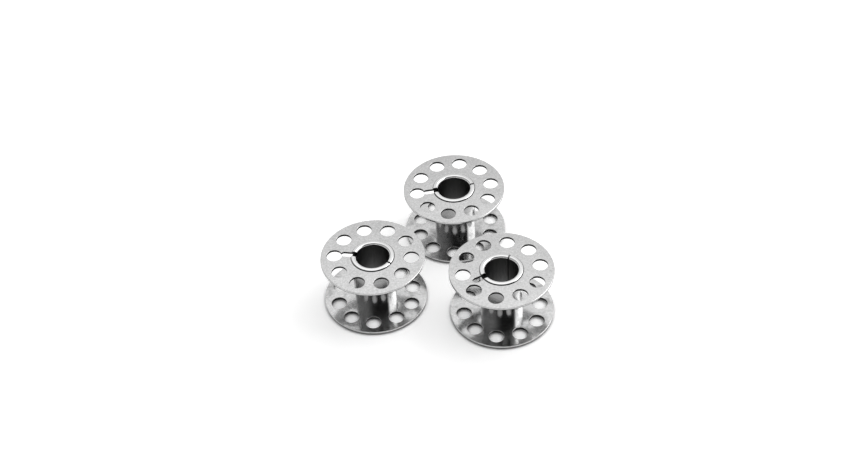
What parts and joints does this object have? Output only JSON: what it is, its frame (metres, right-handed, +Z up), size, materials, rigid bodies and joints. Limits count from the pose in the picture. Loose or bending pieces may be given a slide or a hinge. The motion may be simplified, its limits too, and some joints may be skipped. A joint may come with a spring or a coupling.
{
  "type": "sewing bobbin set",
  "caption": "Set of metal sewing bobbins standing on end: perforated flat flanges riveted to a tubular core that holds wound thread and turns on a spindle through its bore.",
  "frame": {"origin": "on the table, at the middle of the set's bounding box", "axes": "+Z up along the bores, +X to the right and -Y towards the viewer in the picture"},
  "size_m": [0.0448, 0.044, 0.0117],
  "materials": {
    "satin_nickel": "satin nickel-plated steel sheet, fine grain, no direction",
    "bright_nickel": "bright nickel-plated steel tube with faint drawing lines"
  },
  "bodies": {
    "left_bobbin": {"left_lower_flange": "satin_nickel", "left_upper_flange": "satin_nickel", "left_spacer_sleeve": "bright_nickel", "left_rivet_tube": "bright_nickel"},
    "back_bobbin": {"back_lower_flange": "satin_nickel", "back_upper_flange": "satin_nickel", "back_spacer_sleeve": "bright_nickel", "back_rivet_tube": "bright_nickel"},
    "right_bobbin": {"right_lower_flange": "satin_nickel", "right_upper_flange": "satin_nickel", "right_spacer_sleeve": "bright_nickel", "right_rivet_tube": "bright_nickel"}
  },
  "joints": [
    {"name": "back_bobbin_lift", "type": "slide", "parent": "left_bobbin", "child": "back_bobbin", "axis": [0, 0, 1], "range_m": [0, 0.03]},
    {"name": "right_bobbin_lift", "type": "slide", "parent": "left_bobbin", "child": "right_bobbin", "axis": [0, 0, 1], "range_m": [0, 0.03]}
  ]
}
